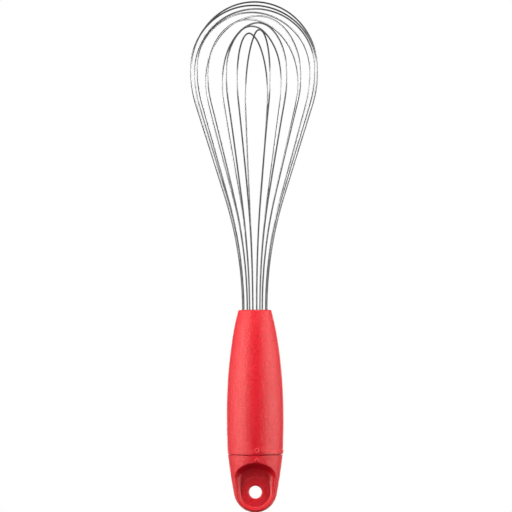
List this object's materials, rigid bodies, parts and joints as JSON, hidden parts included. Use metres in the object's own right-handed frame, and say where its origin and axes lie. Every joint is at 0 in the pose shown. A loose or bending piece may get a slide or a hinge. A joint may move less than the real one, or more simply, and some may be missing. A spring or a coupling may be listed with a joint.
{
  "type": "balloon whisk",
  "caption": "Fold-flat balloon whisk: a smooth red handle with a twist end cap and hang hole, and nested steel wire loops that fan open into a balloon or fold nearly flat.",
  "frame": {"origin": "centre of the hang hole in the twist cap, on the whisk's long axis", "axes": "+Z runs along the whisk from the hang hole towards the wires, and the hang hole runs along Y; the cap's pointer and the open mark face -Y when the whisk is open"},
  "size_m": [0.0782, 0.0702, 0.31],
  "materials": {
    "red_handle": "satin moulded red, faintly pearly",
    "wire_steel": "polished drawn stainless wire",
    "nose_steel": "satin stainless collar",
    "pin_steel": "turned stainless",
    "white_nylon": "moulded acetal",
    "seal_rubber": "matt silicone"
  },
  "bodies": {
    "handle": {"grip_shell": "red_handle", "handle_core": "white_nylon", "nose_ring": "nose_steel", "guide_plate": "white_nylon", "plate_screws": "pin_steel", "end_bush": "white_nylon", "cap_o_ring": "seal_rubber", "detent_ball": "pin_steel", "detent_spring": "pin_steel", "thrust_washers": "white_nylon"},
    "cap": {"twist_cap": "red_handle", "lift_sleeve": "white_nylon", "sleeve_screw": "pin_steel", "cap_retaining_ring": "pin_steel"},
    "spindle": {"cam_spindle": "pin_steel", "spindle_peg": "pin_steel", "stack_spring": "pin_steel", "spring_clip": "pin_steel"},
    "loop_01": {"wire_loop_01": "wire_steel", "loop_carrier_01": "white_nylon", "follower_pin_01": "pin_steel"},
    "loop_02": {"wire_loop_02": "wire_steel", "loop_carrier_02": "white_nylon", "follower_pin_02": "pin_steel"},
    "loop_03": {"wire_loop_03": "wire_steel", "loop_carrier_03": "white_nylon", "follower_pin_03": "pin_steel"},
    "loop_04": {"wire_loop_04": "wire_steel", "loop_carrier_04": "white_nylon", "follower_pin_04": "pin_steel"},
    "loop_05": {"wire_loop_05": "wire_steel", "loop_carrier_05": "white_nylon", "follower_pin_05": "pin_steel"},
    "loop_06": {"wire_loop_06": "wire_steel", "loop_carrier_06": "white_nylon", "follower_pin_06": "pin_steel"},
    "loop_07": {"wire_loop_07": "wire_steel", "loop_carrier_07": "white_nylon", "follower_pin_07": "pin_steel"},
    "loop_08": {"wire_loop_08": "wire_steel", "loop_carrier_08": "white_nylon", "follower_pin_08": "pin_steel"},
    "loop_09": {"wire_loop_09": "wire_steel", "loop_carrier_09": "white_nylon", "follower_pin_09": "pin_steel"},
    "loop_10": {"wire_loop_10": "wire_steel", "loop_carrier_10": "white_nylon", "follower_pin_10": "pin_steel"}
  },
  "joints": [
    {"name": "cap_twist", "type": "hinge", "parent": "handle", "child": "cap", "pos_m": [0, 0, 0.02255], "axis": [0, 0, 1], "range_deg": [0, 180]},
    {"name": "spindle_lift", "type": "slide", "parent": "handle", "child": "spindle", "axis": [0, 0, 1], "range_m": [0, 0.002], "deforming": ["stack_spring"]},
    {"name": "loop_swing_01", "type": "hinge", "parent": "handle", "child": "loop_01", "pos_m": [0, 0, 0.11], "axis": [0, 0, 1], "range_deg": [0, 4.1]},
    {"name": "loop_swing_02", "type": "hinge", "parent": "handle", "child": "loop_02", "pos_m": [0, 0, 0.11], "axis": [0, 0, 1], "range_deg": [-4.1, 0]},
    {"name": "loop_swing_03", "type": "hinge", "parent": "handle", "child": "loop_03", "pos_m": [0, 0, 0.11], "axis": [0, 0, 1], "range_deg": [0, 12.3]},
    {"name": "loop_swing_04", "type": "hinge", "parent": "handle", "child": "loop_04", "pos_m": [0, 0, 0.11], "axis": [0, 0, 1], "range_deg": [-12.3, 0]},
    {"name": "loop_swing_05", "type": "hinge", "parent": "handle", "child": "loop_05", "pos_m": [0, 0, 0.11], "axis": [0, 0, 1], "range_deg": [0, 37.2]},
    {"name": "loop_swing_06", "type": "hinge", "parent": "handle", "child": "loop_06", "pos_m": [0, 0, 0.11], "axis": [0, 0, 1], "range_deg": [-37.2, 0]},
    {"name": "loop_swing_07", "type": "hinge", "parent": "handle", "child": "loop_07", "pos_m": [0, 0, 0.11], "axis": [0, 0, 1], "range_deg": [0, 43.6]},
    {"name": "loop_swing_08", "type": "hinge", "parent": "handle", "child": "loop_08", "pos_m": [0, 0, 0.11], "axis": [0, 0, 1], "range_deg": [-43.6, 0]},
    {"name": "loop_swing_09", "type": "hinge", "parent": "handle", "child": "loop_09", "pos_m": [0, 0, 0.11], "axis": [0, 0, 1], "range_deg": [0, 69.9]},
    {"name": "loop_swing_10", "type": "hinge", "parent": "handle", "child": "loop_10", "pos_m": [0, 0, 0.11], "axis": [0, 0, 1], "range_deg": [-69.9, 0]}
  ],
  "couplings": [
    {"joint": "spindle_lift", "follows": "cap_twist", "m_per_rad": 0.00063662},
    {"joint": "loop_swing_01", "follows": "cap_twist", "ratio": 0.022778},
    {"joint": "loop_swing_02", "follows": "cap_twist", "ratio": -0.022778},
    {"joint": "loop_swing_03", "follows": "cap_twist", "ratio": 0.068333},
    {"joint": "loop_swing_04", "follows": "cap_twist", "ratio": -0.068333},
    {"joint": "loop_swing_05", "follows": "cap_twist", "ratio": 0.20667},
    {"joint": "loop_swing_06", "follows": "cap_twist", "ratio": -0.20667},
    {"joint": "loop_swing_07", "follows": "cap_twist", "ratio": 0.24222},
    {"joint": "loop_swing_08", "follows": "cap_twist", "ratio": -0.24222},
    {"joint": "loop_swing_09", "follows": "cap_twist", "ratio": 0.38833},
    {"joint": "loop_swing_10", "follows": "cap_twist", "ratio": -0.38833}
  ]
}
